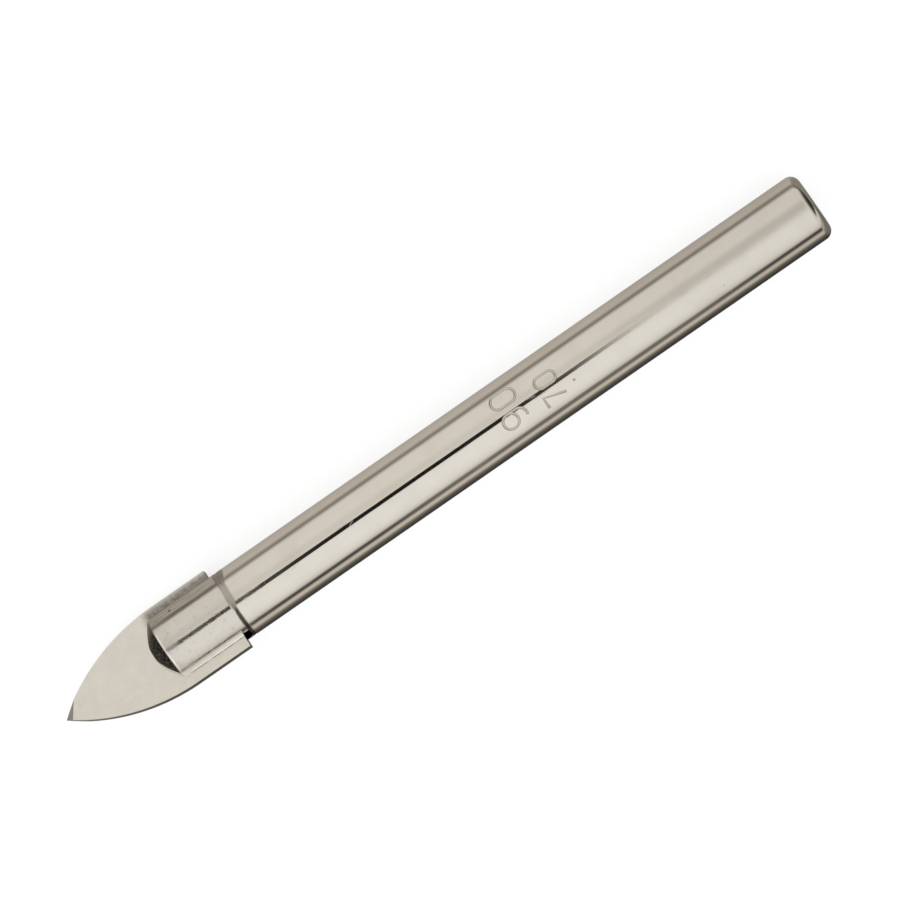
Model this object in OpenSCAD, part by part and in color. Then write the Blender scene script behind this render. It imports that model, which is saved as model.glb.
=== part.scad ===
// Glass and tile drill bit: a round steel shank with a slotted nose,
// and a leaf-shaped carbide plate brazed into the slot.
// The bit lies on its shank with its point towards -X,
// and one cutting corner of the plate is just clear of the floor.

/* [Shank] */
// Length from the point of the plate to the back end of the shank
overall_length = 90; // [60:1:160]
// Diameter of the round shank
shank_d = 7.3; // [6:0.1:8.5]
// Radius of the rounded edge at the back end
back_round = 0.8; // [0.2:0.1:2]

/* [Nose] */
// Distance from the point of the plate to the edge where the nose starts
nose_setback = 12.3; // [10:0.1:16]
// Length of the nose, from that edge to its front flat
nose_length = 1.45; // [0.8:0.05:2.5]
// Diameter of the front flat
nose_flat_d = 2.6; // [2:0.1:5]
// Radius of the curve between the edge and the flat
nose_side_r = 10; // [6:0.5:30]

/* [Ring mark] */
// Distance from the end of the slot to the middle of the shallow ring around the shank
ring_offset = 0.2; // [0:0.05:3]
// Width of the ring
ring_width = 0.9; // [0.4:0.1:2]
// Depth of the ring
ring_depth = 0.06; // [0.02:0.01:0.15]

/* [Plate] */
// Cutting width of the plate, the nominal size of the bit
tip_width = 10; // [9:0.1:14]
// Thickness of the plate
tip_thickness = 1.5; // [1:0.1:2.5]
// Length of the plate
tip_length = 19.5; // [17:0.5:28]
// Length of the curved, tapering part of the plate
leaf_length = 13.2; // [9:0.1:16]
// Angle at which the ground edges fall away behind the cutting edges
relief_angle = 14; // [4:1:20]

/* [Point] */
// Length of chisel edge that is left between the two ground facets at the point
chisel_length = 0.2; // [0.1:0.05:0.5]
// Angle between a ground facet and the face of the plate
facet_tilt = 33; // [25:1:50]
// Angle by which a ground facet turns away from the axis of the bit
facet_skew = 33; // [20:1:55]

/* [Braze] */
// Thickness of the braze film on each face of the plate
braze_film = 0.08; // [0.05:0.01:0.2]
// Distance by which the braze has run out past the jaws of the slot
braze_spread = 0.15; // [0.05:0.05:0.4]
// Room behind the plate at the end of the slot
slot_room = 0.7; // [0.3:0.1:2]

/* [Resting pose] */
// Angle by which the bit lies rolled back from the pose in which a cutting corner touches the floor
roll_back = 4; // [0:0.5:20]

/* [Hidden] */
$fn = 96;

shank_r = shank_d / 2;
face = tip_thickness / 2;
half_width = tip_width / 2;

// The nose runs from its front flat back to the edge at nose_setback
nose_front = nose_setback - nose_length;
nose_flat_r = nose_flat_d / 2;
// Centre of the arc that joins the flat's rim to the edge, bulging outwards
nose_rise = shank_r - nose_flat_r;
nose_chord = sqrt(nose_rise * nose_rise + nose_length * nose_length);
nose_back_off = sqrt(nose_side_r * nose_side_r - nose_chord * nose_chord / 4);
nose_centre_r = (shank_r + nose_flat_r) / 2 - nose_back_off * nose_length / nose_chord;
nose_centre_x = nose_setback - nose_length / 2 + nose_back_off * nose_rise / nose_chord;

slot_end = tip_length + slot_room;
slot_face = face + braze_film;

// The ring is the trace of a round-edged cutter
ring_x = slot_end + ring_offset;
ring_cutter_r = (ring_width * ring_width / 4 + ring_depth * ring_depth) / (2 * ring_depth);

// Half width of the leaf at mid thickness, measured square to the tilted edge
leaf_half = half_width * cos(relief_angle) - face * sin(relief_angle);
// The leaf's curve starts at the point and ends tangent to the straight edge
leaf_r = (leaf_length * leaf_length + leaf_half * leaf_half) / (2 * leaf_half);

// Roll at which a cutting corner and the shank would lie on the same floor
corner_r = sqrt(half_width * half_width + face * face);
touch_roll = asin(shank_r / corner_r) - atan(face / half_width);
rest_roll = touch_roll - roll_back;

steel = [0.80, 0.77, 0.71];
carbide = [0.74, 0.72, 0.68];
filler = [0.72, 0.65, 0.52];

// From the bit's own axis, with its point at the origin, to the way it lies on the floor
module lay_down() {
    translate([-overall_length / 2, 0, shank_r])
        rotate([-rest_roll, 0, 0])
            children();
}

// Turns a profile of radius against length about the bit's axis
module turned() {
    rotate([0, 90, 0])
        rotate_extrude()
            children();
}

// Profile of the nose and the first stretch of wall, grown outwards by extra
module nose_profile(extra, back) {
    intersection() {
        translate([nose_centre_r, nose_centre_x])
            circle(nose_side_r + extra, $fn = 256);
        translate([0, nose_front - extra])
            square([shank_r + extra, nose_length + extra]);
    }
    translate([0, nose_setback])
        square([shank_r + extra, back - nose_setback]);
}

module shank_profile() {
    round_start = overall_length - back_round;
    difference() {
        union() {
            nose_profile(0, round_start);
            translate([0, round_start])
                square([shank_r - back_round, back_round]);
            translate([shank_r - back_round, round_start])
                circle(back_round);
        }
        translate([shank_r + ring_cutter_r - ring_depth, ring_x])
            circle(ring_cutter_r);
    }
}

module slot() {
    translate([0, -shank_d, -slot_face])
        cube([slot_end, 2 * shank_d, 2 * slot_face]);
}

module shank() {
    color(steel)
        lay_down()
            difference() {
                turned() shank_profile();
                slot();
            }
}

// Outline of one edge of the leaf, with everything on its inner side
module leaf_outline() {
    intersection() {
        translate([leaf_length, leaf_half - leaf_r])
            circle(leaf_r, $fn = 256);
        translate([0, -tip_width])
            square([leaf_length, tip_width + leaf_half]);
    }
    translate([leaf_length, -tip_width])
        square([tip_length - leaf_length, tip_width + leaf_half]);
}

// All that lies inside one ground edge, which leans back from its cutting edge
module inside_edge() {
    rotate([relief_angle, 0, 0])
        linear_extrude(height = 4 * tip_width, center = true)
            leaf_outline();
}

// The corner that one facet at the point takes away
module point_facet() {
    translate([0, 0, chisel_length / 2])
        rotate([0, 0, -facet_skew])
            rotate([0, -facet_tilt, 0])
                translate([-tip_width, -tip_width, 0])
                    cube([2 * tip_width, 2 * tip_width, tip_width]);
}

module carbide_tip() {
    color(carbide)
        lay_down()
            difference() {
                intersection() {
                    translate([0, -tip_width, -face])
                        cube([tip_length, 2 * tip_width, tip_thickness]);
                    inside_edge();
                    rotate([180, 0, 0]) inside_edge();
                }
                point_facet();
                rotate([180, 0, 0]) point_facet();
            }
}

// The film fills the room between plate and jaw, and ends just outside the jaw
module braze_face() {
    intersection() {
        translate([0, -tip_width, face])
            cube([tip_length, 2 * tip_width, braze_film]);
        turned() nose_profile(braze_spread, slot_end);
    }
}

module braze() {
    color(filler)
        lay_down() {
            braze_face();
            rotate([180, 0, 0]) braze_face();
        }
}

shank();
carbide_tip();
braze();
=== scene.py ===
# %% [markdown]
# # A drill bit for glass and tile
# The real bit has three pieces: a turned steel shank with a slot across its nose, a leaf-shaped
# carbide plate that sits in the slot, and the braze that holds the plate there.
# The CAD model gives their sizes. This lesson models each piece again with fine edges, gives it
# its finish, and sets up light and camera as in a product photograph.

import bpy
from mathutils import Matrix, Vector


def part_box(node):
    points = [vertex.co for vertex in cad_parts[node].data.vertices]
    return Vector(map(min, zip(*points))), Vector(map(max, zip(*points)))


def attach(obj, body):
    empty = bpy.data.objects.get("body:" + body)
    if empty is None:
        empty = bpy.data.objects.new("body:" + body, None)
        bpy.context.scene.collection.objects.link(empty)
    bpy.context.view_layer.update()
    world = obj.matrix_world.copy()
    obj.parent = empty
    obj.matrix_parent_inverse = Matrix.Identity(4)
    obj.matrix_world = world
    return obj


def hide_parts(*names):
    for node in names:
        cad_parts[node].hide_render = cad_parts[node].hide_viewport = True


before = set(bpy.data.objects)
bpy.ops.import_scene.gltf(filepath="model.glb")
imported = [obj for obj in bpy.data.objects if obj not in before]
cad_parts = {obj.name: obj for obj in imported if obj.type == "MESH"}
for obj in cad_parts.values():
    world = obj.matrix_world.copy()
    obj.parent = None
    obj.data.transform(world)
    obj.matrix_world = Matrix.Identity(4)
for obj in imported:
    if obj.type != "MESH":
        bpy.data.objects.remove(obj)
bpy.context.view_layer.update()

# %% [markdown]
# ## Sizes
# These numbers repeat the named values of the CAD source, in metres. Only the ring mark among them
# is narrower and shallower here, because on the real bit it shows mostly as a stain; here its colour
# is a dull stain, with painted shade in its darker parts. All pieces are modelled on the bit's own
# axis, with the point at the origin and the shank along +X, because a turned part is easiest to shape
# around an axis. At the end each piece is laid down the way the CAD model lies.

# %% Sizes from the CAD source
from math import asin, atan, atan2, cos, degrees, pi, radians, sin, sqrt, tan

import bmesh
import bpy
from mathutils import Matrix, Vector

MM = 0.001
OVERALL_LENGTH = 90 * MM
SHANK_R = 7.3 / 2 * MM
NOSE_SETBACK = 12.3 * MM
NOSE_LENGTH = 1.45 * MM
NOSE_FLAT_R = 2.6 / 2 * MM
NOSE_SIDE_R = 10 * MM
TIP_WIDTH = 10 * MM
TIP_THICKNESS = 1.5 * MM
TIP_LENGTH = 19.5 * MM
LEAF_LENGTH = 13.2 * MM
RELIEF = radians(14)
BRAZE_FILM = 0.08 * MM
SLOT_ROOM = 0.7 * MM
SLOT_END = TIP_LENGTH + SLOT_ROOM
RING_OFFSET = 0.2 * MM
RING_X = SLOT_END + RING_OFFSET
RING_WIDTH = 0.5 * MM
RING_DEPTH = 0.03 * MM
ROLL_BACK = radians(4)

FACE = TIP_THICKNESS / 2
SLOT_FACE = FACE + BRAZE_FILM
NOSE_FRONT = NOSE_SETBACK - NOSE_LENGTH
CORNER_R = sqrt((TIP_WIDTH / 2) ** 2 + FACE ** 2)
REST_ROLL = asin(SHANK_R / CORNER_R) - atan(TIP_THICKNESS / TIP_WIDTH) - ROLL_BACK
print("the bit lies rolled by", round(degrees(REST_ROLL), 2), "degrees")

# %% [markdown]
# ## Helpers for modelling by hand
# An operator works on whatever is selected, and a loaded model is selected all over. So every
# piece starts with nothing selected, and inside edit mode the parts to work on are picked by
# where they are.


# %% Selection helpers
def clear_selection():
    if bpy.context.object and bpy.context.object.mode == "EDIT":
        bpy.ops.object.mode_set(mode="OBJECT")
    bpy.ops.object.select_all(action="DESELECT")


def make_active(piece):
    clear_selection()
    piece.select_set(True)
    bpy.context.view_layer.objects.active = piece


def apply_place(piece):
    make_active(piece)
    bpy.ops.object.transform_apply(location=True, rotation=True, scale=True)


def edit(piece):
    make_active(piece)
    bpy.ops.object.mode_set(mode="EDIT")


def leave_edit():
    bpy.ops.object.mode_set(mode="OBJECT")


def pick(piece, kind, test):
    """Selects the vertices, edges or faces of a piece in edit mode whose middle passes a test."""
    bpy.ops.mesh.select_mode(type=kind)
    bpy.ops.mesh.select_all(action="DESELECT")
    form = bmesh.from_edit_mesh(piece.data)
    chosen = 0
    if kind == "VERT":
        for vertex in form.verts:
            if test(vertex.co):
                vertex.select = True
                chosen += 1
    elif kind == "EDGE":
        for edge in form.edges:
            if all(test(vertex.co) for vertex in edge.verts):
                edge.select = True
                chosen += 1
    else:
        for face in form.faces:
            if test(face.calc_center_median()):
                face.select = True
                chosen += 1
    form.select_flush_mode()
    bmesh.update_edit_mesh(piece.data)
    return chosen


def use_modifier(piece, kind, **settings):
    """Adds a modifier with its settings and applies it at once."""
    make_active(piece)
    bpy.ops.object.modifier_add(type=kind)
    modifier = piece.modifiers[-1]
    for name, value in settings.items():
        setattr(modifier, name, value)
    bpy.ops.object.modifier_apply(modifier=modifier.name)


def cut_with(piece, tool, operation="DIFFERENCE", **settings):
    """Cuts a piece with another object, which is used up by the cut."""
    use_modifier(piece, "BOOLEAN", object=tool, operation=operation, solver="EXACT", **settings)
    bpy.data.objects.remove(tool)


def count(piece):
    return f"{len(piece.data.vertices)} vertices, {len(piece.data.polygons)} faces"


# %% [markdown]
# ## The turned bar
# A lathe part could be a profile that is spun. Here the front flat is a filled circle, and its
# face is extruded back along the axis step by step and scaled at each step. That way the
# bar is closed from the start, with no seam to merge. The nose is an arc, so it takes many
# small steps, and the ring mark behind the slot is a shallow dip of a few steps. Beside each
# change of slope the wall gets one more short step. It holds the wall straight there, so that
# smooth shading doesn't bend the long reflections.

# %% Turn the bar
RIM_SIDES = 360
NOSE_STEPS = 16
RING_STEPS = 10


def begin_turning(name, x, r):
    clear_selection()
    bpy.ops.mesh.primitive_circle_add(
        vertices=RIM_SIDES, radius=r, fill_type="NGON", location=(x, 0, 0), rotation=(0, pi / 2, 0))
    piece = bpy.context.object
    piece.name = name
    apply_place(piece)
    edit(piece)
    bpy.ops.mesh.select_all(action="SELECT")
    return piece


def turn_along(steps):
    """Extrudes the selected end face through a list of (x, radius) steps."""
    x_now, r_now = steps[0]
    for x, r in steps[1:]:
        bpy.ops.mesh.extrude_region_move(TRANSFORM_OT_translate={"value": (x - x_now, 0, 0)})
        grow = r / r_now
        bpy.ops.transform.resize(value=(1, grow, grow), center_override=(x, 0, 0))
        x_now, r_now = x, r


def nose_steps(extra, count_of_steps):
    """The nose arc from the front flat to the jaw edge, grown outwards by extra."""
    rise = SHANK_R - NOSE_FLAT_R
    chord = sqrt(rise ** 2 + NOSE_LENGTH ** 2)
    back_off = sqrt(NOSE_SIDE_R ** 2 - chord ** 2 / 4)
    centre_r = (SHANK_R + NOSE_FLAT_R) / 2 - back_off * NOSE_LENGTH / chord
    centre_x = NOSE_SETBACK - NOSE_LENGTH / 2 + back_off * rise / chord
    arc_r = NOSE_SIDE_R + extra
    first = atan2(NOSE_FLAT_R - centre_r, NOSE_FRONT - centre_x)
    last = atan2(SHANK_R - centre_r, NOSE_SETBACK - centre_x)
    steps = []
    for i in range(count_of_steps + 1):
        turn = first + (last - first) * i / count_of_steps
        steps.append((centre_x + arc_r * cos(turn), centre_r + arc_r * sin(turn)))
    return steps


def ring_steps(count_of_steps):
    """The shallow ring mark, the trace of a round-edged cutter."""
    cutter_r = (RING_WIDTH ** 2 / 4 + RING_DEPTH ** 2) / (2 * RING_DEPTH)
    steps = []
    for i in range(count_of_steps + 1):
        off = RING_WIDTH * (i / count_of_steps - 0.5)
        dip = sqrt(cutter_r ** 2 - off ** 2) - (cutter_r - RING_DEPTH)
        steps.append((RING_X + off, SHANK_R - dip))
    return steps


HOLD = 0.15 * MM
BACK_SOFT = 1.05 * MM
shank = begin_turning("shank_bar", NOSE_FRONT, NOSE_FLAT_R)
holds = [NOSE_SETBACK + HOLD, RING_X - RING_WIDTH / 2 - HOLD, RING_X + RING_WIDTH / 2 + HOLD,
         OVERALL_LENGTH - BACK_SOFT - HOLD]
wall = ring_steps(RING_STEPS) + [(x, SHANK_R) for x in holds] + [(OVERALL_LENGTH, SHANK_R)]
turn_along(nose_steps(0, NOSE_STEPS) + sorted(wall))
leave_edit()
print("turned bar:", count(shank))

# %% [markdown]
# ## Soft edges on the bar
# Light catches every real edge. The jaw edge at the front gets a narrow round, which shows as a
# thin bright line in the photograph; on one side a painted highlight in the plating's colour adds to
# it. The back end gets a larger round, a little softer than in the CAD model, as wear leaves it. A
# bevel of one ring of edges does both.

# %% Round the jaw edge and the back end
JAW_ROUND = 0.07 * MM
NEAR = 0.002 * MM


def bevel_ring(piece, x, r, offset, segments):
    edit(piece)
    chosen = pick(piece, "EDGE", lambda p: abs(p.x - x) < NEAR and abs(p.yz.length - r) < NEAR)
    bpy.ops.mesh.bevel(offset=offset, segments=segments, affect="EDGES", clamp_overlap=False)
    leave_edit()
    return chosen


print("jaw edge:", bevel_ring(shank, NOSE_SETBACK, SHANK_R, JAW_ROUND, 4), "edges rounded")
print("back rim:", bevel_ring(shank, OVERALL_LENGTH, SHANK_R, BACK_SOFT, 16), "edges rounded")

# %% [markdown]
# ## The slot
# A saw cuts the slot on the real bar, so a block is cut out with a Boolean modifier. The block's
# sides flare outwards just where they leave the bar. The same cut then breaks the long edges of
# the jaws, which a separate bevel on such thin faces would tear.

# %% Saw the slot
JAW_BREAK = 0.06 * MM
FLARE_REACH = 1.5 * MM
FLARE_SLOPE = 0.9


def slot_block():
    clear_selection()
    front = NOSE_FRONT - 1 * MM
    inner_y = sqrt(SHANK_R ** 2 - SLOT_FACE ** 2) - JAW_BREAK
    bpy.ops.mesh.primitive_cube_add(
        size=1, location=((front + SLOT_END) / 2, 0, 0),
        scale=(SLOT_END - front, 2 * inner_y, 2 * SLOT_FACE))
    block = bpy.context.object
    apply_place(block)
    edit(block)
    for side in (1, -1):
        pick(block, "FACE", lambda p: p.y * side > inner_y - NEAR)
        bpy.ops.mesh.extrude_region_move(
            TRANSFORM_OT_translate={"value": (0, side * FLARE_REACH, 0)})
        flare = (SLOT_FACE + FLARE_REACH * FLARE_SLOPE) / SLOT_FACE
        bpy.ops.transform.resize(value=(1, 1, flare), center_override=(0, 0, 0))
    bpy.ops.mesh.select_all(action="SELECT")
    bpy.ops.mesh.normals_make_consistent(inside=False)
    leave_edit()
    return block


cut_with(shank, slot_block())
print("slotted bar:", count(shank))

# %% [markdown]
# ## The carbide plate
# The plate is ground to a leaf shape. One edge of the leaf is an arc that runs out into a
# straight side, so a single vertex at the point is spun about the arc's centre and then extruded
# back. The outline is mirrored, filled and extruded. The extrusion leans sideways, which gives
# each flank its relief: every cutting edge stands out and the flank falls away behind it.

# %% Draw the leaf and give it its thickness
LEAF_HALF = TIP_WIDTH / 2 * cos(RELIEF) - FACE * sin(RELIEF)
LEAF_R = (LEAF_LENGTH ** 2 + LEAF_HALF ** 2) / (2 * LEAF_HALF)
ARC_STEPS = 72


def leaf_plate():
    clear_selection()
    bpy.ops.mesh.primitive_plane_add(size=1 * MM, location=(0, 0, 0))
    plate = bpy.context.object
    plate.name = "carbide_plate"
    edit(plate)
    bpy.ops.mesh.select_all(action="SELECT")
    bpy.ops.mesh.merge(type="CENTER")
    pick(plate, "VERT", lambda p: True)
    bpy.ops.mesh.spin(
        steps=ARC_STEPS, angle=asin(LEAF_LENGTH / LEAF_R),
        center=(LEAF_LENGTH, LEAF_HALF - LEAF_R, 0), axis=(0, 0, 1))
    bpy.ops.mesh.extrude_region_move(
        TRANSFORM_OT_translate={"value": (TIP_LENGTH - LEAF_LENGTH, 0, 0)})
    bpy.ops.mesh.select_all(action="SELECT")
    bpy.ops.transform.resize(value=(1, 1 / cos(RELIEF), 1), center_override=(0, 0, 0))
    bpy.ops.transform.translate(value=(0, 0, -FACE))
    leave_edit()
    ends = [round(v.co.x / MM, 3) for v in plate.data.vertices]
    print("leaf edge runs from", min(ends), "to", max(ends), "mm")
    use_modifier(plate, "MIRROR", use_axis=(False, True, False), merge_threshold=NEAR)
    edit(plate)
    bpy.ops.mesh.select_all(action="SELECT")
    bpy.ops.mesh.edge_face_add()
    bpy.ops.mesh.select_all(action="SELECT")
    bpy.ops.mesh.extrude_region_move(TRANSFORM_OT_translate={
        "value": (0, 0, TIP_THICKNESS)})
    bpy.ops.transform.translate(value=(0, -TIP_THICKNESS * tan(RELIEF), 0))
    bpy.ops.mesh.select_all(action="SELECT")
    bpy.ops.transform.translate(value=(0, FACE * tan(RELIEF), 0))
    bpy.ops.mesh.normals_make_consistent(inside=False)
    leave_edit()
    return plate


plate = leaf_plate()
print("leaf plate:", count(plate))

# %% [markdown]
# ## The ground point
# At the point, each face of the plate has a small facet that was ground away, so that only a
# short chisel edge is left. A bisect with fill is the grinding wheel here: it takes off
# everything on one side of a plane and closes the cut. The two planes are half a turn apart.

# %% Grind the two facets and break the edges
CHISEL_LENGTH = 0.2 * MM
FACET_TILT = radians(33)
FACET_SKEW = radians(33)
PLATE_BREAK = 0.03 * MM
BREAK_ANGLE = radians(25)


def grind_point(plate):
    facet_up = Vector((
        -sin(FACET_TILT) * cos(FACET_SKEW),
        sin(FACET_TILT) * sin(FACET_SKEW),
        cos(FACET_TILT)))
    for half_turn in (1, -1):
        edit(plate)
        bpy.ops.mesh.select_all(action="SELECT")
        bpy.ops.mesh.bisect(
            plane_co=(0, 0, half_turn * CHISEL_LENGTH / 2),
            plane_no=(facet_up.x, half_turn * facet_up.y, half_turn * facet_up.z),
            use_fill=True, clear_outer=True)
        leave_edit()


grind_point(plate)
print("ground plate:", count(plate))
use_modifier(
    plate, "BEVEL", width=PLATE_BREAK, segments=2, limit_method="ANGLE", angle_limit=BREAK_ANGLE)
print("plate with broken edges:", count(plate))

# %% [markdown]
# ## The braze
# Filler has run out of the joint and stands as a small hollow fillet where the jaw meets the
# plate. The fillet follows the outline of the jaw, and that outline changes with height because
# the jaw is round. So a filled outline is drawn at the foot of the fillet and extruded upwards in
# thin levels, and at each level its points move to the outline there. Cutting away
# the bar leaves just the filler. The other face of the plate gets a copy, half a turn round.

# %% Flow the braze
BRAZE_SPREAD = 0.13 * MM
BRAZE_RISE = 0.4 * MM
BRAZE_LEVELS = 12
NOSE_SHARE = 0.2
HOLLOW = 0.5
OUTLINE_STEPS = 24
FULL_SPREAD = 0.5 * MM


def jaw_outline(height, extra):
    """The outline of the jaw at one height, grown by extra, less around the nose: (x, y) points."""
    side = []
    for x, r in nose_steps(NOSE_SHARE * extra, OUTLINE_STEPS):
        side.append((x, sqrt(r ** 2 - height ** 2)))
    wall = sqrt((SHANK_R + extra) ** 2 - height ** 2)
    side += [(NOSE_SETBACK + FULL_SPREAD, wall), (TIP_LENGTH, wall)]
    return side + [(x, -y) for x, y in reversed(side)]


def braze_levels():
    """Height and outline of each level, from the foot of the hollow fillet to its top."""
    levels = []
    for i in range(BRAZE_LEVELS + 1):
        part = (i / BRAZE_LEVELS) ** 1.5
        down = 1 - part
        extra = BRAZE_SPREAD * ((1 - HOLLOW) * down + HOLLOW * (1 - sqrt(1 - down ** 2)))
        height = FACE + BRAZE_RISE * part
        levels.append((height, jaw_outline(height, extra)))
    return levels


def braze_layer():
    levels = braze_levels()
    height, outline = levels[0]
    clear_selection()
    bpy.ops.mesh.primitive_circle_add(vertices=len(outline), radius=1 * MM, fill_type="NGON")
    layer = bpy.context.object
    layer.name = "braze_fillet"
    for vertex, (x, y) in zip(layer.data.vertices, outline):
        vertex.co = (x, y, height)
    edit(layer)
    bpy.ops.mesh.select_all(action="SELECT")
    for next_height, next_outline in levels[1:]:
        bpy.ops.mesh.extrude_region_move(
            TRANSFORM_OT_translate={"value": (0, 0, next_height - height)})
        form = bmesh.from_edit_mesh(layer.data)
        rim = [vertex for vertex in form.verts if vertex.select]
        for vertex in rim:
            nearest = min(
                range(len(outline)), key=lambda i: (vertex.co.xy - Vector(outline[i])).length)
            vertex.co.xy = next_outline[nearest]
        bmesh.update_edit_mesh(layer.data)
        height, outline = next_height, next_outline
    bpy.ops.mesh.select_all(action="SELECT")
    bpy.ops.mesh.normals_make_consistent(inside=False)
    leave_edit()
    print("fillet of", len(levels), "levels, each with", len(outline), "points")
    return layer


def copy_of(piece):
    make_active(piece)
    bpy.ops.object.duplicate(linked=False)
    return bpy.context.object


braze = braze_layer()
cut_with(braze, copy_of(shank))
other_face = copy_of(braze)
other_face.rotation_euler = (pi, 0, 0)
apply_place(other_face)
make_active(braze)
other_face.select_set(True)
bpy.ops.object.join()
print("braze:", count(braze))

# %% [markdown]
# ## Stamped size numbers
# The bit carries two plain numbers: its length, and about the length of its plain shank, in
# millimetres. Text could be cut in as it is, but a stamp leaves round-bottomed strokes. So each
# stroke is drawn flat as a chain of edges, projected onto the bar with a Shrinkwrap modifier, turned
# into a round tube and then cut out of the bar.

# %% Draw the strokes
STROKE_R = 0.15 * MM
STROKE_LIFT = 0.04 * MM
STAMP_TURN = radians(24.6)


def point_at(name, x, y):
    """A mesh with one vertex, ready to be extruded into a stroke."""
    clear_selection()
    bpy.ops.mesh.primitive_plane_add(size=1 * MM, location=(0, 0, 0))
    stroke = bpy.context.object
    stroke.name = name
    edit(stroke)
    bpy.ops.mesh.select_all(action="SELECT")
    bpy.ops.mesh.merge(type="CENTER")
    pick(stroke, "VERT", lambda p: True)
    bpy.ops.transform.translate(value=(x, y, 0))
    return stroke


def draw_to(moves):
    for x, y in moves:
        bpy.ops.mesh.extrude_region_move(TRANSFORM_OT_translate={"value": (x, y, 0)})


def seven(height):
    width = 0.5 * height
    stroke = point_at("seven", -width / 2, height / 2)
    draw_to([(width, 0), (-0.6 * width, -height)])
    leave_edit()
    return [stroke]


def loop(width, height, middle_y=0.0):
    clear_selection()
    bpy.ops.mesh.primitive_circle_add(vertices=64, radius=width / 2, location=(0, 0, 0))
    stroke = bpy.context.object
    edit(stroke)
    pick(stroke, "VERT", lambda p: p.y > NEAR)
    bpy.ops.transform.translate(value=(0, height - width, 0))
    bpy.ops.mesh.select_all(action="SELECT")
    bpy.ops.transform.translate(value=(0, middle_y - (height - width) / 2, 0))
    leave_edit()
    return stroke


def zero(height):
    return [loop(0.52 * height, height)]


def nine(height):
    width = 0.56 * height
    bowl = loop(width, 0.6 * height, 0.2 * height)
    tail = point_at("tail", width / 2, 0.2 * height)
    draw_to([(0, -0.4 * height)])
    bpy.ops.mesh.spin(
        steps=16, angle=radians(115), center=(0, -0.2 * height, 0), axis=(0, 0, 1))
    leave_edit()
    return [bowl, tail]


# %% Stamp the numbers into the bar
def wrap(strokes, x, across):
    """Projects flat strokes onto the bar at a place along and across it, as round tubes."""
    place = (Matrix.Rotation(STAMP_TURN, 4, "X")
             @ Matrix.Translation((x, across, SHANK_R + 1 * MM))
             @ Matrix.Rotation(pi / 2, 4, "Z"))
    tubes = []
    for stroke in strokes:
        stroke.matrix_world = place
        use_modifier(
            stroke, "SHRINKWRAP", target=shank, wrap_method="PROJECT", wrap_mode="ABOVE_SURFACE",
            offset=STROKE_LIFT, use_project_z=True, use_negative_direction=True,
            use_positive_direction=False)
        apply_place(stroke)
        bpy.ops.object.convert(target="CURVE")
        stroke.data.bevel_depth = STROKE_R
        stroke.data.bevel_resolution = 4
        stroke.data.use_fill_caps = True
        bpy.ops.object.convert(target="MESH")
        tubes.append(bpy.context.object)
    return tubes


LENGTH_MARK_X = 53.8 * MM
LENGTH_MARK_HEIGHT = 2.7 * MM
GRIP_MARK_X = 58.3 * MM
GRIP_MARK_HEIGHT = 2.3 * MM
tubes = wrap(nine(LENGTH_MARK_HEIGHT), LENGTH_MARK_X, -0.7 * MM)
tubes += wrap(zero(LENGTH_MARK_HEIGHT), LENGTH_MARK_X, 1.6 * MM)
tubes += wrap(seven(GRIP_MARK_HEIGHT), GRIP_MARK_X, -1.2 * MM)
tubes += wrap(zero(GRIP_MARK_HEIGHT), GRIP_MARK_X, 0.8 * MM)
make_active(tubes[0])
for tube in tubes:
    tube.select_set(True)
bpy.ops.object.join()
cut_with(shank, tubes[0], use_self=True)
print("stamped bar:", count(shank))

# %% [markdown]
# ## Lay the pieces down
# Each piece now goes from its own axis to where it lies in the CAD model, and that place is
# applied to its mesh. Smooth shading by angle keeps the round walls smooth and the edges crisp. On
# the bar and the plate, Weighted Normal then lets the large faces decide how light turns at an
# edge, so that a narrow round doesn't bend the reflection in a long wall.
# Every piece stands for the CAD solid of the same part and rides on the one body of the bit.

# %% Place, shade and attach the pieces
SMOOTH_ANGLE = radians(32)
PIECES = {
    "shank": (shank, "plated_steel"),
    "carbide_tip": (plate, "ground_carbide"),
    "braze": (braze, "braze_filler"),
}


def lay_down(piece):
    piece.rotation_euler = (-REST_ROLL, 0, 0)
    piece.location = (-OVERALL_LENGTH / 2, 0, SHANK_R)
    apply_place(piece)
    bpy.ops.object.shade_smooth_by_angle(angle=SMOOTH_ANGLE)
    if piece is not braze:
        use_modifier(piece, "WEIGHTED_NORMAL", keep_sharp=True)


def corners(piece):
    points = [v.co for v in piece.data.vertices]
    low = [round(min(p[i] for p in points) / MM, 2) for i in range(3)]
    high = [round(max(p[i] for p in points) / MM, 2) for i in range(3)]
    return low, high


for node, (piece, slot) in PIECES.items():
    lay_down(piece)
    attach(piece, "root")
    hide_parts(node)
    cad_low, cad_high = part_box(node)
    cad_corners = [[round(c / MM, 2) for c in corner] for corner in (cad_low, cad_high)]
    print(node, corners(piece), "CAD", cad_corners)

# %% [markdown]
# ## Shared surface effects
# The three metals share effects at different strengths: fine grain that is drawn out along one
# direction, small pits, thin scuffs and broad cloudy tones. Each is a node group with named
# sockets, built once. The groups work in millimetres on the bit's own axis.


# %% Node helpers
def node_in(tree, kind, label, **settings):
    node = tree.nodes.new(kind)
    node.label = label
    for name, value in settings.items():
        setattr(node, name, value)
    return node


def link(tree, source, target):
    tree.links.new(source, target)


def calc(tree, operation, first, second=None, label="", clamp=False):
    """A Math node. Inputs are sockets or numbers."""
    node = node_in(
        tree, "ShaderNodeMath", label or operation.lower(), operation=operation, use_clamp=clamp)
    for socket, value in zip(node.inputs, (first, second)):
        if value is None:
            continue
        if isinstance(value, (int, float)):
            socket.default_value = value
        else:
            link(tree, value, socket)
    return node.outputs[0]


def scaled(tree, value, amount):
    return calc(tree, "MULTIPLY", value, amount)


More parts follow.
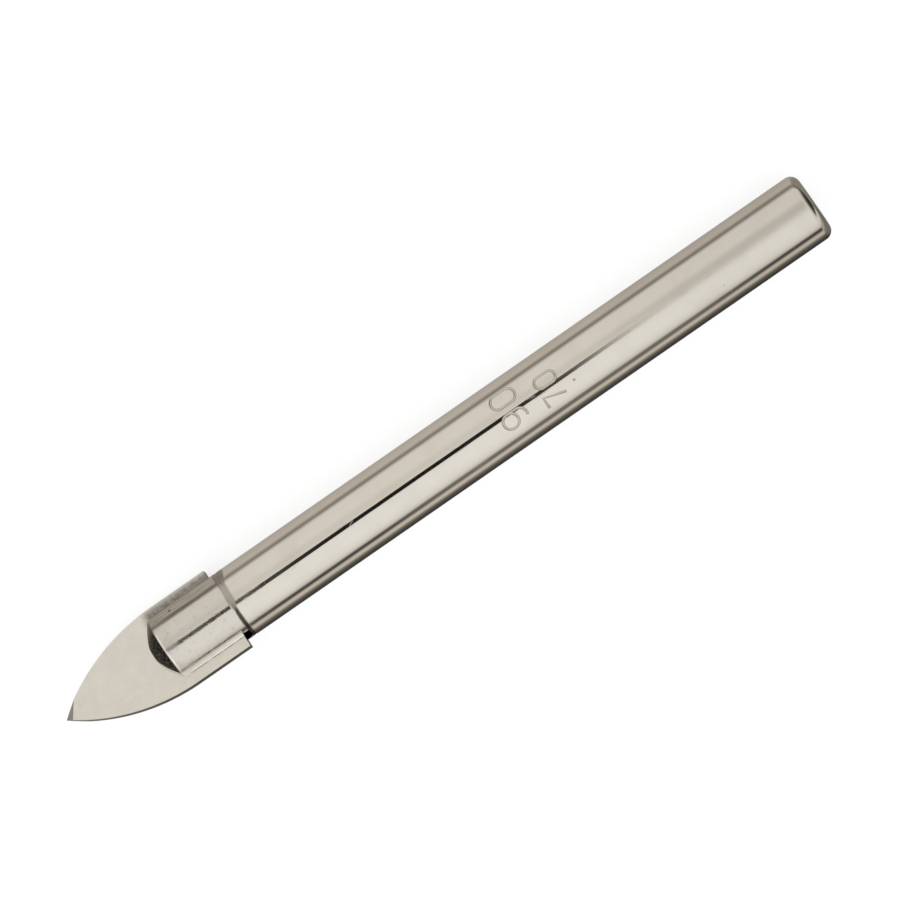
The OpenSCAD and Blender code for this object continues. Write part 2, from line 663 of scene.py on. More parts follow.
def fade(tree, value, low, high, label):
    """Goes smoothly from 0 at low to 1 at high. low may be above high."""
    node = node_in(tree, "ShaderNodeMapRange", label, interpolation_type="SMOOTHSTEP")
    node.inputs["From Min"].default_value = low
    node.inputs["From Max"].default_value = high
    link(tree, value, node.inputs["Value"])
    return node.outputs["Result"]


def blend_colour(tree, mask, first, second, label):
    """Mixes two colours by a mask. A colour is a socket or three numbers."""
    node = node_in(tree, "ShaderNodeMix", label, data_type="RGBA")
    link(tree, mask, node.inputs["Factor"])
    for name, colour in (("A", first), ("B", second)):
        socket = [s for s in node.inputs if s.name == name and s.type == "RGBA"][0]
        if isinstance(colour, tuple):
            socket.default_value = (*colour, 1)
        else:
            link(tree, colour, socket)
    return [s for s in node.outputs if s.type == "RGBA"][0]


def blend_value(tree, mask, first, second, label):
    """A number that goes from the first to the second as the mask goes from 0 to 1."""
    part = calc(tree, "MULTIPLY", mask, calc(tree, "SUBTRACT", second, first))
    return calc(tree, "ADD", first, part, label)


def new_effect(name, inputs, output):
    """An empty node group with a Vector input, named value inputs and one value output."""
    group = bpy.data.node_groups.new(name, "ShaderNodeTree")
    group.interface.new_socket(name="Vector", in_out="INPUT", socket_type="NodeSocketVector")
    for label, value in inputs.items():
        socket = group.interface.new_socket(
            name=label, in_out="INPUT", socket_type="NodeSocketFloat")
        socket.default_value = value
    group.interface.new_socket(name=output, in_out="OUTPUT", socket_type="NodeSocketFloat")
    way_in = group.nodes.new("NodeGroupInput")
    way_out = group.nodes.new("NodeGroupOutput")
    return group, way_in, way_out


# %% Build the effect groups
def drawn_grain_effect():
    group, way_in, way_out = new_effect("drawn grain", {"Length": 6.0, "Fineness": 3.0}, "Grain")
    stretch = node_in(group, "ShaderNodeCombineXYZ", "stretch along the axis")
    per_length = calc(group, "DIVIDE", 1.0, way_in.outputs["Length"], "per length")
    link(group, per_length, stretch.inputs["X"])
    stretch.inputs["Y"].default_value = 1
    stretch.inputs["Z"].default_value = 1
    drawn = node_in(group, "ShaderNodeVectorMath", "drawn out", operation="MULTIPLY")
    link(group, way_in.outputs["Vector"], drawn.inputs[0])
    link(group, stretch.outputs[0], drawn.inputs[1])
    noise = node_in(group, "ShaderNodeTexNoise", "grain")
    noise.inputs["Detail"].default_value = 4
    noise.inputs["Roughness"].default_value = 0.6
    link(group, drawn.outputs[0], noise.inputs["Vector"])
    link(group, way_in.outputs["Fineness"], noise.inputs["Scale"])
    link(group, noise.outputs["Fac"], way_out.inputs["Grain"])
    return group


def pits_effect():
    group, way_in, way_out = new_effect("pits", {"Scale": 0.6, "Size": 0.08}, "Pits")
    cells = node_in(group, "ShaderNodeTexVoronoi", "one spot in each cell", feature="F1")
    link(group, way_in.outputs["Vector"], cells.inputs["Vector"])
    link(group, way_in.outputs["Scale"], cells.inputs["Scale"])
    ragged = node_in(group, "ShaderNodeTexNoise", "ragged rim")
    ragged.inputs["Scale"].default_value = 5
    link(group, way_in.outputs["Vector"], ragged.inputs["Vector"])
    parts = node_in(group, "ShaderNodeSeparateColor", "a random number for each cell")
    link(group, cells.outputs["Color"], parts.inputs["Color"])
    size = calc(group, "MULTIPLY", way_in.outputs["Size"], parts.outputs[0], "size differs")
    rim = calc(group, "MULTIPLY", size, calc(group, "ADD", ragged.outputs["Fac"], 0.5), "rim")
    inside = calc(group, "SUBTRACT", rim, cells.outputs["Distance"], "inside the rim")
    edge = calc(group, "DIVIDE", inside, way_in.outputs["Size"], "soft edge")
    link(group, calc(group, "MULTIPLY", edge, 6.0, clamp=True), way_out.inputs["Pits"])
    return group


def scuffs_effect():
    group, way_in, way_out = new_effect(
        "scuffs", {"Scale": 0.5, "Width": 0.01, "Share": 0.5}, "Scuffs")
    turned = node_in(group, "ShaderNodeMapping", "at a slant")
    turned.inputs["Rotation"].default_value = (0.2, 0.3, 0.5)
    turned.inputs["Scale"].default_value = (0.25, 1.6, 1.6)
    link(group, way_in.outputs["Vector"], turned.inputs["Vector"])
    noise = node_in(group, "ShaderNodeTexNoise", "where lines run")
    noise.inputs["Detail"].default_value = 1
    noise.inputs["Distortion"].default_value = 0.4
    link(group, turned.outputs[0], noise.inputs["Vector"])
    link(group, way_in.outputs["Scale"], noise.inputs["Scale"])
    off = calc(group, "ABSOLUTE", calc(group, "SUBTRACT", noise.outputs["Fac"], 0.5))
    widths_off = calc(group, "DIVIDE", off, way_in.outputs["Width"], "widths off the line")
    near = calc(group, "SUBTRACT", 1.0, widths_off, clamp=True)
    where = node_in(group, "ShaderNodeTexNoise", "only in places")
    where.inputs["Scale"].default_value = 0.35
    link(group, way_in.outputs["Vector"], where.inputs["Vector"])
    above = calc(group, "SUBTRACT", where.outputs["Fac"], way_in.outputs["Share"])
    gate = calc(group, "MULTIPLY", above, 8.0, clamp=True)
    link(group, calc(group, "MULTIPLY", near, gate), way_out.inputs["Scuffs"])
    return group


def cloud_effect():
    group, way_in, way_out = new_effect("cloudy tone", {"Scale": 0.25, "Detail": 3.0}, "Cloud")
    noise = node_in(group, "ShaderNodeTexNoise", "clouds")
    link(group, way_in.outputs["Vector"], noise.inputs["Vector"])
    link(group, way_in.outputs["Scale"], noise.inputs["Scale"])
    link(group, way_in.outputs["Detail"], noise.inputs["Detail"])
    link(group, noise.outputs["Fac"], way_out.inputs["Cloud"])
    return group


EFFECTS = {
    "grain": drawn_grain_effect(),
    "pits": pits_effect(),
    "scuffs": scuffs_effect(),
    "cloud": cloud_effect(),
}
print("effects:", ", ".join(group.name for group in EFFECTS.values()))

# %% [markdown]
# ## Metals
# All three metals start alike: Object coordinates go through a Mapping node that undoes the
# bit's place on the floor, so that patterns follow the axis of the bit in millimetres. The
# colour of a bare metal is the colour of its reflection, so Metallic is 1 everywhere.


# %% Start of a metal
def new_metal(name):
    metal = bpy.data.materials.new(name)
    metal.use_nodes = True
    tree = metal.node_tree
    shader = tree.nodes["Principled BSDF"]
    shader.inputs["Metallic"].default_value = 1
    place = node_in(tree, "ShaderNodeTexCoord", "place on the piece")
    axes = node_in(tree, "ShaderNodeMapping", "axis of the bit, in mm", vector_type="TEXTURE")
    axes.inputs["Location"].default_value = (-OVERALL_LENGTH / 2, 0, SHANK_R)
    axes.inputs["Rotation"].default_value = (-REST_ROLL, 0, 0)
    axes.inputs["Scale"].default_value = (MM, MM, MM)
    link(tree, place.outputs["Object"], axes.inputs["Vector"])
    return metal, tree, shader, axes.outputs["Vector"]


def effect(tree, name, vector, **values):
    node = node_in(tree, "ShaderNodeGroup", name, node_tree=EFFECTS[name])
    link(tree, vector, node.inputs["Vector"])
    for label, value in values.items():
        node.inputs[label].default_value = value
    return node.outputs[0]


def rough_normal(tree, shader, height, depth, label):
    bump = node_in(tree, "ShaderNodeBump", label)
    bump.inputs["Distance"].default_value = depth
    link(tree, height, bump.inputs["Height"])
    link(tree, bump.outputs["Normal"], shader.inputs["Normal"])


def total(tree, *values):
    """Adds up sockets and numbers."""
    result = values[0]
    for value in values[1:]:
        result = calc(tree, "ADD", result, value)
    return result


def weighted(tree, base, masks, strengths):
    """A base number plus each mask times its strength."""
    return total(tree, base, *(scaled(tree, masks[name], strengths[name]) for name in strengths))


# %% [markdown]
# ## Plated steel
# The shank is polished and plated, so its round wall mirrors the studio in long clear bands. Up
# to the ring mark the bar was heated for brazing: there the wall is stained, the ring itself is
# dull, and the nose has a dark scale. The wall is also a little wavy, which dies out a few
# millimetres behind the ring. Some of the colour is painted light: shade inside the slot, in the
# darker parts of the ring and in the stamped strokes, a highlight along the jaw edge, and a
# lighter tone on one side of the nose.

# %% Plated steel
NICKEL = (0.66, 0.61, 0.53)
NICKEL_WARM = (0.635, 0.582, 0.495)
NICKEL_HEATED = (0.605, 0.557, 0.483)
# A brighter plating tone, painted as a highlight along the jaw edge.
NICKEL_EDGE_HIGHLIGHT = (0.8, 0.75, 0.67)
# The next three colours serve for real stains, pores and scale, and also as painted shade: in the
# stamped strokes, in the darker parts of the ring and inside the slot.
STAIN_AND_SHADE = (0.33, 0.29, 0.235)
STAIN_DARK_AND_SHADE = (0.07, 0.06, 0.048)
SCALE_DARK_AND_SHADE = (0.012, 0.011, 0.009)
SCALE_PALE = (0.11, 0.1, 0.085)
# A lighter scale tone, painted as light on one side of the nose.
SCALE_PAINTED_LIGHT = (0.27, 0.245, 0.205)
DEEP_PITS = [((14.75, 2.12, 2.97), 0.9), ((60.7, -2.24, 2.88), 0.5)]
PIT_RADIUS = 0.2

# Where a fade along the bit starts and ends, in mm from the point
HEATED = (20.5, 19.8)
NOSE = (12.27, 12.2)
ROUGH_FRONT = (14.6, 13.2)
BEHIND_RING = (20.3, 20.7)
CLEAN_AGAIN = (25.0, 22.0)
WAVY = (25.0, 20.0)
RIPPLED = (26.0, 22.0)
STAMPED_FROM = (45.0, 46.0)
STAMPED_TO = (70.0, 69.0)

# What each effect adds to the roughness of the polished wall, and to its relief
POLISH = 0.035
ROUGHER = {"grain": 0.03, "behind": 0.05, "ring": 0.2, "nose": 0.3, "scuffs": 0.1, "pits": 0.3,
           "front": 0.16, "dull": 0.12}
RAISED = {"ripples": 0.5, "grain": 0.06, "scuffs": -0.15, "pits": -1.0, "waves": 0.8, "scale": 1.5}
RELIEF_DEPTH = 0.012 * MM


def spot(tree, axis, place, radius):
    """Mask of one soft round spot at a place on the bit, in mm."""
    off = node_in(tree, "ShaderNodeVectorMath", "off the spot", operation="DISTANCE")
    link(tree, axis, off.inputs[0])
    off.inputs[1].default_value = place
    return fade(tree, off.outputs["Value"], radius, 0.4 * radius, "spot")


def all_pits(tree, axis):
    """Fine pits all over, and the few deep ones."""
    pits = scaled(tree, effect(tree, "pits", axis, Scale=0.28, Size=0.04), 0.4)
    for place, depth in DEEP_PITS:
        pits = calc(tree, "MAXIMUM", pits, scaled(tree, spot(tree, axis, place, PIT_RADIUS), depth))
    return pits


def ring_mark(tree, x, y, axis):
    """Mask of the ring mark, which is broad on one side of the bar and narrow on the other."""
    ragged = effect(tree, "cloud", axis, Scale=1.2, Detail=2.0)
    middle = total(tree, RING_X / MM + 0.02, scaled(tree, y, 0.05), scaled(tree, ragged, 0.2))
    half = total(tree, 0.19, scaled(tree, fade(tree, y, -1.9, -0.9, "broader"), 0.19),
                 scaled(tree, fade(tree, y, 0.5, 2.4, "broadest"), 0.22))
    off = calc(tree, "ABSOLUTE", calc(tree, "SUBTRACT", x, middle))
    return fade(tree, calc(tree, "SUBTRACT", off, half, "outside the ring"), 0.1, -0.1, "ring mark")


def distance_from_axis(tree, y, z):
    flat = node_in(tree, "ShaderNodeCombineXYZ", "across only")
    link(tree, y, flat.inputs["Y"])
    link(tree, z, flat.inputs["Z"])
    radius = node_in(tree, "ShaderNodeVectorMath", "distance from the axis", operation="LENGTH")
    link(tree, flat.outputs[0], radius.inputs[0])
    return radius.outputs["Value"]


def steel_masks(tree, axis, x, y, z):
    """Where the bar is heated, stained, pitted or stamped, and where shade and highlights are painted
    on it.
    """
    heated = fade(tree, x, *HEATED, "heated for brazing")
    ring = ring_mark(tree, x, y, axis)
    sides = total(tree, fade(tree, y, -1.3, -2.1, "narrow side"),
                  scaled(tree, fade(tree, y, 1.4, 2.0, "broad side"), 0.35))
    edge = calc(tree, "ABSOLUTE", calc(tree, "SUBTRACT", x, NOSE_SETBACK / MM + 0.08))
    stamped_part = calc(tree, "MULTIPLY", fade(tree, x, *STAMPED_FROM, "from here"),
                        fade(tree, x, *STAMPED_TO, "to here"))
    below_wall = fade(tree, distance_from_axis(tree, y, z), 3.63, 3.57, "below the wall")
    slot_walls = fade(tree, calc(tree, "ABSOLUTE", z), 0.93, 0.88, "slot walls")
    return {
        "heated": heated,
        "stained": calc(tree, "MULTIPLY", heated, fade(tree, y, 0.9, 1.3, "side with stain and shade")),
        "ring": ring,
        # The dark parts of the ring mark towards the sides of the bar are painted shade.
        "ring shade": calc(tree, "MULTIPLY", ring, sides),
        # A brighter colour along the jaw edge, on one side, is a painted highlight.
        "edge highlight": calc(tree, "MULTIPLY", fade(tree, edge, 0.12, 0.05, "jaw edge"),
                     fade(tree, y, 1.0, 0.0, "side with the highlight")),
        "nose": fade(tree, x, *NOSE, "nose"),
        # The lighter tone on one side of the nose is painted light.
        "painted light on the nose": fade(tree, y, 0.6, 2.2, "towards the lit side of the nose"),
        # The slot walls get the darkest colour as painted shade in the gap.
        "slot": calc(tree, "MULTIPLY", slot_walls, heated),
        # Inside the stamped strokes, where shade is painted.
        "stamped": calc(tree, "MULTIPLY", below_wall, stamped_part),
        "pits": all_pits(tree, axis),
        "mottle": effect(tree, "cloud", axis, Scale=2.2, Detail=5.0),
    }


def steel_colour(tree, axis, masks):
    """From bright plating through stain, painted shade and painted light to the scale on the nose."""
    clouds = effect(tree, "cloud", axis, Scale=0.3, Detail=4.0)
    clouds = fade(tree, clouds, 0.4, 0.75, "cloud share")
    colour = blend_colour(tree, clouds, NICKEL, NICKEL_WARM, "plating")
    colour = blend_colour(tree, masks["heated"], colour, NICKEL_HEATED, "heated plating")
    smears = fade(tree, masks["mottle"], 0.54, 0.75, "smears")
    smears = scaled(tree, calc(tree, "MULTIPLY", smears, masks["heated"]), 0.3)
    colour = blend_colour(tree, smears, colour, STAIN_AND_SHADE, "heat tint and painted shade")
    streaks = effect(tree, "grain", axis, Length=9.0, Fineness=2.4)
    streaks = fade(tree, streaks, 0.42, 0.62, "streaks")
    share = calc(tree, "ADD", scaled(tree, streaks, 0.4), 0.35)
    stained = calc(tree, "MULTIPLY", masks["stained"], share)
    colour = blend_colour(tree, stained, colour, STAIN_AND_SHADE, "side with stain and shade")
    colour = blend_colour(tree, scaled(tree, masks["ring"], 0.72), colour, STAIN_AND_SHADE, "dull ring")
    # Painted shade in the darker parts of the ring mark.
    colour = blend_colour(tree, masks["ring shade"], colour, STAIN_DARK_AND_SHADE, "painted shade in the ring")
    # Painted highlight along the jaw edge.
    colour = blend_colour(tree, masks["edge highlight"], colour, NICKEL_EDGE_HIGHLIGHT, "painted highlight on the jaw edge")
    colour = blend_colour(tree, masks["pits"], colour, SCALE_DARK_AND_SHADE, "pits")
    # Painted shade on the slot walls.
    colour = blend_colour(tree, masks["slot"], colour, SCALE_DARK_AND_SHADE, "painted shade in the slot")
    # Darker inside the stamped strokes: painted shade.
    dirt_and_shade = scaled(tree, masks["stamped"], 0.3)
    colour = blend_colour(tree, dirt_and_shade, colour, STAIN_AND_SHADE, "painted shade in the strokes")
    specks = effect(tree, "cloud", axis, Scale=4.0, Detail=2.0)
    specks = fade(tree, specks, 0.48, 0.66, "specks")
    scale = blend_colour(tree, specks, SCALE_DARK_AND_SHADE, SCALE_PALE, "scale")
    # Painted light: a lighter tone on one side of the nose.
    scale = blend_colour(tree, masks["painted light on the nose"], scale, SCALE_PAINTED_LIGHT, "painted light on the nose")
    return blend_colour(tree, masks["nose"], colour, scale, "scale on the nose")


def plated_steel():
    metal, tree, shader, axis = new_metal("plated steel")
    place = node_in(tree, "ShaderNodeSeparateXYZ", "along and across")
    link(tree, axis, place.inputs[0])
    x, y, z = (place.outputs[name] for name in "XYZ")
    masks = steel_masks(tree, axis, x, y, z)
    link(tree, steel_colour(tree, axis, masks), shader.inputs["Base Color"])
    dull = effect(tree, "cloud", axis, Scale=1.1, Detail=3.0)
    dull = fade(tree, dull, 0.5, 0.68, "dull places")
    marks = {
        "grain": effect(tree, "grain", axis, Length=14.0, Fineness=4.0),
        "scuffs": effect(tree, "scuffs", axis, Scale=0.6, Width=0.012, Share=0.52),
        "front": fade(tree, x, *ROUGH_FRONT, "rougher front"),
        "dull": calc(tree, "MULTIPLY", masks["heated"], dull),
        "behind": calc(tree, "MULTIPLY", fade(tree, x, *BEHIND_RING, "behind the ring"),
                       fade(tree, x, *CLEAN_AGAIN, "clean again")),
        "waves": calc(tree, "MULTIPLY", effect(tree, "grain", axis, Length=2.5, Fineness=1.0),
                      fade(tree, x, *WAVY, "wavy stretch")),
        "ripples": calc(tree, "MULTIPLY", effect(tree, "grain", axis, Length=1.5, Fineness=3.5),
                        fade(tree, x, *RIPPLED, "rippled stretch")),
        "scale": calc(tree, "MULTIPLY", masks["mottle"], masks["nose"]),
        "ring": masks["ring"],
        "nose": masks["nose"],
        "pits": masks["pits"],
    }
    link(tree, weighted(tree, POLISH, marks, ROUGHER), shader.inputs["Roughness"])
    rough_normal(tree, shader, weighted(tree, 0.0, marks, RAISED), RELIEF_DEPTH, "surface relief")
    return metal


# %% [markdown]
# ## Ground carbide
# Carbide is ground, not polished. A fine satin grain softens its reflection, so the
# flat face shows one even tone. Beside the jaw and on its cut end, painted shade darkens it.

# %% Ground carbide
CARBIDE = (0.74, 0.685, 0.6)
CARBIDE_DEEP = (0.66, 0.61, 0.535)
# Painted shade beside the jaw and on the cut end, and the dark seam.
CARBIDE_SHADE_AND_SEAM = (0.2, 0.18, 0.15)
SEAM_Y = 3.72
PLATE_END = TIP_LENGTH / MM


def carbide_shade_and_seam(tree, axis, x, y):
    """Where the plate is dark: painted shade beside the jaw and on its cut end, and the dark seam
    along the jaw.
    """
    # Painted shade: the jaw's shadow on the plate, on one side.
    jaw_shade = calc(tree, "MULTIPLY", fade(tree, x, 11.4, 12.7, "beside the jaw"),
                  fade(tree, y, 5.0, 3.9, "outwards"))
    jaw_shade = calc(tree, "MULTIPLY", jaw_shade, fade(tree, y, 2.4, 3.3, "side with stain and shade"))
    blotches = effect(tree, "cloud", axis, Scale=2.5, Detail=3.0)
    jaw_shade = calc(tree, "MULTIPLY", jaw_shade, calc(tree, "ADD", blotches, 0.45), "blotched")
    off_seam = calc(tree, "ABSOLUTE", calc(tree, "SUBTRACT", calc(tree, "ABSOLUTE", y), SEAM_Y))
    seam = calc(tree, "MULTIPLY", fade(tree, off_seam, 0.2, 0.06, "seam"),
                fade(tree, x, 12.7, 13.6, "along the jaw"))
    dots = effect(tree, "cloud", axis, Scale=3.0, Detail=1.0)
    dots = fade(tree, dots, 0.35, 0.6, "broken line")
    dirt_and_shade = calc(tree, "ADD", scaled(tree, dots, 0.45), 0.2)
    seam = calc(tree, "MULTIPLY", seam, dirt_and_shade, "seam dirt")
    # Painted shade on the plate's cut end, in the gap behind it.
    shaded_cut_end = fade(tree, x, PLATE_END - 0.05, PLATE_END - 0.01, "cut end")
    # Painted shade beside the jaw and on the cut end.
    stain = calc(tree, "MAXIMUM", scaled(tree, jaw_shade, 0.95), shaded_cut_end, "painted_shade")
    return calc(tree, "MAXIMUM", stain, seam, "painted shade and seam")


def ground_carbide():
    metal, tree, shader, axis = new_metal("ground carbide")
    place = node_in(tree, "ShaderNodeSeparateXYZ", "along and across")
    link(tree, axis, place.inputs[0])
    x, y = place.outputs["X"], place.outputs["Y"]
    grain = effect(tree, "grain", axis, Length=0.6, Fineness=9.0)
    clouds = effect(tree, "cloud", axis, Scale=0.9, Detail=5.0)
    tone = total(tree, scaled(tree, grain, 0.7), scaled(tree, clouds, 0.3))
    tone = fade(tree, tone, 0.4, 0.65, "tone")
    colour = blend_colour(tree, tone, CARBIDE, CARBIDE_DEEP, "ground face")
    # Painted shade beside the jaw and on the cut end, and the dark seam.
    painted_shade = carbide_shade_and_seam(tree, axis, x, y)
    colour = blend_colour(tree, painted_shade, colour, CARBIDE_SHADE_AND_SEAM, "heat tint and painted shade")
    link(tree, colour, shader.inputs["Base Color"])
    link(tree, total(tree, 0.25, scaled(tree, grain, 0.12)), shader.inputs["Roughness"])
    rough_normal(tree, shader, grain, 0.002 * MM, "grinding marks")
    return metal


# %% [markdown]
# ## Braze filler
# On the real bit the filler shows as a pale line beside the jaw, brighter than the plating. It froze
# as it flowed: smooth, with dull places and a few pores.

# %% Braze filler
FILLER = (0.82, 0.79, 0.73)
FILLER_DULL = (0.7, 0.665, 0.6)


def braze_filler():
    metal, tree, shader, axis = new_metal("braze filler")
    clouds = effect(tree, "cloud", axis, Scale=2.0, Detail=3.0)
    pores = effect(tree, "pits", axis, Scale=1.6, Size=0.12)
    dull = fade(tree, clouds, 0.5, 0.7, "dull share")
    colour = blend_colour(tree, dull, FILLER, FILLER_DULL, "filler")
    colour = blend_colour(tree, scaled(tree, pores, 0.6), colour, STAIN_DARK_AND_SHADE, "pores")
    link(tree, colour, shader.inputs["Base Color"])
    link(tree, total(tree, 0.1, scaled(tree, clouds, 0.08)), shader.inputs["Roughness"])
    rough_normal(tree, shader, clouds, 0.003 * MM, "frozen flow")
    return metal


for piece, metal in ((shank, plated_steel()), (plate, ground_carbide()), (braze, braze_filler())):
    piece.data.materials.clear()
    piece.data.materials.append(metal)
    print(piece.name, "has", metal.name, "with", len(metal.node_tree.nodes), "nodes")

# %% [markdown]
# ## Light
# Polished metal shows its surroundings, so the surroundings are the lighting. The bit lies in a
# pale light tent: one tone for each direction around its axis, with dark gaps where the tent's
# panels end and a dark opening for the lens. The World holds that tent as a colour ramp over the
# angle around the axis. Towards the ends of the bit the tent is plainer, with one dark way out
# behind the back end. The background itself is plain white for the camera.

# %% Light tent
CAMERA_LEAN = REST_ROLL - STAMP_TURN
CAMERA_TILT = radians(2.7)
UP_VIEW = Vector((0, sin(CAMERA_LEAN), cos(CAMERA_LEAN)))
SIDE_VIEW = Vector((0, -cos(CAMERA_LEAN), sin(CAMERA_LEAN)))
TENT = [
    (-180, 0.45), (-154, 0.5), (-127, 0.62), (-109, 0.67), (-104, 0.57), (-99, 0.4),
    (-94, 0.3), (-90, 0.32), (-85, 0.62),
    (-80, 0.87), (-76, 0.95), (-40, 0.97), (-31, 0.92), (-22, 0.86), (-12, 0.9), (4, 1.08), (12, 1.15),
    (40, 1.17), (58, 1.12), (68, 1.03), (78, 0.8), (85, 0.1), (93, 0.1), (101, 0.72), (110, 0.72),
    (119, 0.28), (130, 0.12), (142, 0.07), (166, 0.06), (176, 0.25), (180, 0.45),
]

BRIGHTEST = 1.2
COOL = (0.96, 0.99, 1.02, 1)
WHITE = (1, 1, 1, 1)
WARM = (1.03, 0.99, 0.94, 1)
TINT = [
    (-180, WARM), (-100, WARM), (-75, WHITE), (0, WHITE), (10, COOL), (62, COOL), (80, WHITE),
    (100, WARM), (180, WARM),
]


def ramp_over(tree, place, stops, label):
    """A colour ramp from a list of (angle in degrees, colour)."""
    ramp = node_in(tree, "ShaderNodeValToRGB", label)
    elements = ramp.color_ramp.elements
    while len(elements) > 1:
        elements.remove(elements[-1])
    for i, (turn, colour) in enumerate(stops):
        position = (turn + 180) / 360
        element = elements[0] if i == 0 else elements.new(position)
        element.position = position
        element.color = colour
    link(tree, place, ramp.inputs[0])
    return ramp.outputs["Color"]


def dot_with(tree, vector, direction, label):
    node = node_in(tree, "ShaderNodeVectorMath", label, operation="DOT_PRODUCT")
    link(tree, vector, node.inputs[0])
    node.inputs[1].default_value = direction
    return node.outputs["Value"]


# A direction around the axis, and how far off it a band starts and is full, in degrees
OPENING = (-1.3, 6.9, 5.1)
DIM_STRETCH = (-9, 32, 0)
GAP = (89, 7, 3)
WAY_OUT = (-22, 85, 60)

# Where a fade starts and ends, as the X part of a direction, or its Z part for the floor
SQUARE = (0.4, 0.15)
OPENING_END = (-0.019, -0.026)
OPENING_DARKER = (-0.08, -0.0735)
DIM_BACK = (-0.035, 0.002)
PALER_FROM = (-0.062, -0.05)
PALER_TO = (0.002, -0.008)
BEHIND_BACK_END = (0.45, 0.9)
ABOVE_FLOOR = (-0.12, 0.12)


def band(tree, angle, place, label):
    """1 in the middle of a band of directions around the axis, and 0 outside it."""
    middle, start, full = (radians(turn) for turn in place)
    off = calc(tree, "ABSOLUTE", calc(tree, "SUBTRACT", angle, middle), label="off the middle")
    return fade(tree, off, start, full, label)


def dimmed(tree, level, share, label):
    return calc(tree, "MULTIPLY", level, calc(tree, "SUBTRACT", 1.0, share), label)


def square_panels(tree, angle, x, panel):
    """The panels square to the axis, with the opening for the lens, a dim back and a paler gap."""
    opening = calc(tree, "MULTIPLY", band(tree, angle, OPENING, "opening for the lens"),
                   fade(tree, x, *OPENING_END, "where the opening ends"))
    depth = fade(tree, x, *OPENING_DARKER, "darker from here")
    depth = total(tree, scaled(tree, depth, 0.18), 0.81)
    level = dimmed(tree, panel, calc(tree, "MULTIPLY", opening, depth), "with the opening")
    share = total(tree, scaled(tree, band(tree, angle, DIM_STRETCH, "dim stretch"), 0.14), 0.08)
    dim = calc(tree, "MULTIPLY", fade(tree, x, *DIM_BACK, "towards the back end"), share)
    level = dimmed(tree, level, dim, "dimmer at the back")
    stretch = calc(tree, "MULTIPLY", fade(tree, x, *PALER_FROM, "paler from here"),
                   fade(tree, x, *PALER_TO, "to here"))
    paler = calc(tree, "MULTIPLY", band(tree, angle, GAP, "gap between panels"), stretch)
    return calc(tree, "ADD", level, scaled(tree, paler, 0.13), "paler gap")


def plain_ends(tree, angle, x, z, panel):
    """The tent towards the ends of the bit: softer panels, and a dark way out at the back."""
    plain = fade(tree, z, *ABOVE_FLOOR, "above the floor")
    plain = total(tree, scaled(tree, plain, 0.5), 0.4)
    softer = total(tree, scaled(tree, panel, 0.5), 0.5)
    plain = calc(tree, "MULTIPLY", plain, softer, "softer panels")
    way_out = calc(tree, "MULTIPLY", fade(tree, x, *BEHIND_BACK_END, "behind the back end"),
                   band(tree, angle, WAY_OUT, "way out"))
    return dimmed(tree, plain, scaled(tree, way_out, 0.95), "dark way out")


def light_tent():
    world = bpy.data.worlds.new("light tent")
    bpy.context.scene.world = world
    world.use_nodes = True
    tree = world.node_tree
    tree.nodes.clear()
    toward = node_in(tree, "ShaderNodeTexCoord", "direction").outputs["Generated"]
    parts = node_in(tree, "ShaderNodeSeparateXYZ", "along the axis and up")
    link(tree, toward, parts.inputs[0])
    x, z = parts.outputs["X"], parts.outputs["Z"]
    angle = calc(tree, "ARCTAN2", dot_with(tree, toward, SIDE_VIEW, "to the side"),
                 dot_with(tree, toward, UP_VIEW, "to the camera"), "angle around the axis")
    around = calc(tree, "ADD", calc(tree, "DIVIDE", angle, 2 * pi), 0.5, "around, 0 to 1")
    greys = [(turn, tone / BRIGHTEST) for turn, tone in TENT]
    tones = [(turn, (grey, grey, grey, 1)) for turn, grey in greys]
    panel = scaled(tree, ramp_over(tree, around, tones, "tent panels"), BRIGHTEST)
    square = fade(tree, calc(tree, "ABSOLUTE", x), *SQUARE, "square to the axis")
    level = blend_value(tree, square, plain_ends(tree, angle, x, z, panel),
                        square_panels(tree, angle, x, panel), "panels between plain ends")
    paths = node_in(tree, "ShaderNodeLightPath", "who looks")
    direct = calc(tree, "MAXIMUM", paths.outputs["Is Camera Ray"],
                  paths.outputs["Is Transmission Ray"])
    tint = ramp_over(tree, around, TINT, "tint of the panels")
    tint = blend_colour(tree, direct, tint, WHITE[:3], "no tint for the camera")
    back = node_in(tree, "ShaderNodeBackground", "tent")
    link(tree, tint, back.inputs["Color"])
    level = blend_value(tree, direct, level, 1.0, "white for the camera")
    link(tree, level, back.inputs["Strength"])
    out = node_in(tree, "ShaderNodeOutputWorld", "world")
    link(tree, back.outputs[0], out.inputs["Surface"])
    print("light tent with", len(TENT), "tones around the axis")


light_tent()

# %% [markdown]
# ## Floor
# The floor is a plain pale sheet. Its paint is part diffuse, which keeps the soft shadow of the
# bit, and part glow for camera rays, which lifts it to the white of the backdrop. The tent already
# holds what the metal mirrors below the bit, so the floor stays out of reflections.

# %% Floor
FLOOR_PAINT = 0.4
FLOOR_GLOW = 0.75
FLOOR_SIZE = 6
FLOOR_DROP = 0.01 * MM


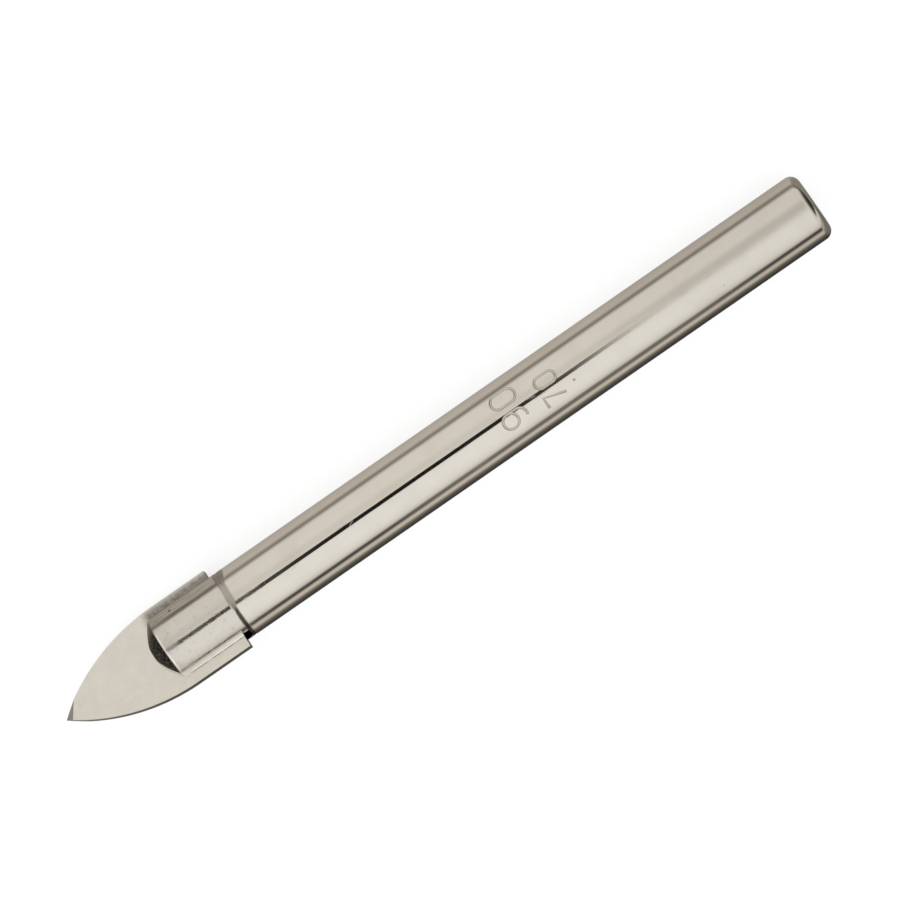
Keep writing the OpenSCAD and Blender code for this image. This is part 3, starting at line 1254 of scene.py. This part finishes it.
def pale_floor():
    clear_selection()
    bpy.ops.mesh.primitive_plane_add(size=FLOOR_SIZE, location=(0, 0, -FLOOR_DROP))
    floor = bpy.context.object
    floor.name = "floor"
    paint = bpy.data.materials.new("pale floor")
    paint.use_nodes = True
    tree = paint.node_tree
    tree.nodes.clear()
    matt = node_in(tree, "ShaderNodeBsdfDiffuse", "matt paint")
    matt.inputs["Color"].default_value = (FLOOR_PAINT, FLOOR_PAINT, FLOOR_PAINT, 1)
    glow = node_in(tree, "ShaderNodeEmission", "lift to white")
    paths = node_in(tree, "ShaderNodeLightPath", "who looks")
    seen = calc(tree, "MAXIMUM", paths.outputs["Is Camera Ray"], paths.outputs["Is Transmission Ray"])
    link(tree, scaled(tree, seen, FLOOR_GLOW), glow.inputs["Strength"])
    both = node_in(tree, "ShaderNodeAddShader", "paint and glow")
    link(tree, matt.outputs[0], both.inputs[0])
    link(tree, glow.outputs[0], both.inputs[1])
    out = node_in(tree, "ShaderNodeOutputMaterial", "floor")
    link(tree, both.outputs[0], out.inputs["Surface"])
    floor.data.materials.append(paint)
    floor.visible_glossy = False


pale_floor()

# %% [markdown]
# ## Camera
# The photograph looks down on the bit with a long lens. The bit's axis runs from the lower left
# to the upper right, about 35 degrees above the horizontal. The camera is built from three
# directions: along the bit as it is seen, across it, and back towards the lens.

# %% Camera
AXIS_ON_PICTURE = radians(34.71)
LENS = 300
SENSOR = 36
PICTURE_WIDTH = 88.95 * MM
AIM = Vector((1.55 * MM, 0.43 * MM, SHANK_R))


def photo_camera():
    data = bpy.data.cameras.new("photo camera")
    data.lens = LENS
    data.sensor_width = SENSOR
    data.clip_start = 0.01
    camera = bpy.data.objects.new("photo camera", data)
    bpy.context.scene.collection.objects.link(camera)
    back = Vector((sin(CAMERA_TILT), 0, 0)) + UP_VIEW * cos(CAMERA_TILT)
    along = Vector((1, 0, 0))
    along = (along - back * along.dot(back)).normalized()
    down = (-back).cross(along)
    right = cos(AXIS_ON_PICTURE) * along + sin(AXIS_ON_PICTURE) * down
    up = sin(AXIS_ON_PICTURE) * along - cos(AXIS_ON_PICTURE) * down
    place = Matrix((right, up, back)).transposed().to_4x4()
    distance = PICTURE_WIDTH * LENS / SENSOR
    place.translation = AIM + back * distance
    camera.matrix_world = place
    bpy.context.scene.camera = camera
    print("camera", round(distance, 3), "m from the bit")


photo_camera()
bpy.context.scene.view_settings.view_transform = "Standard"
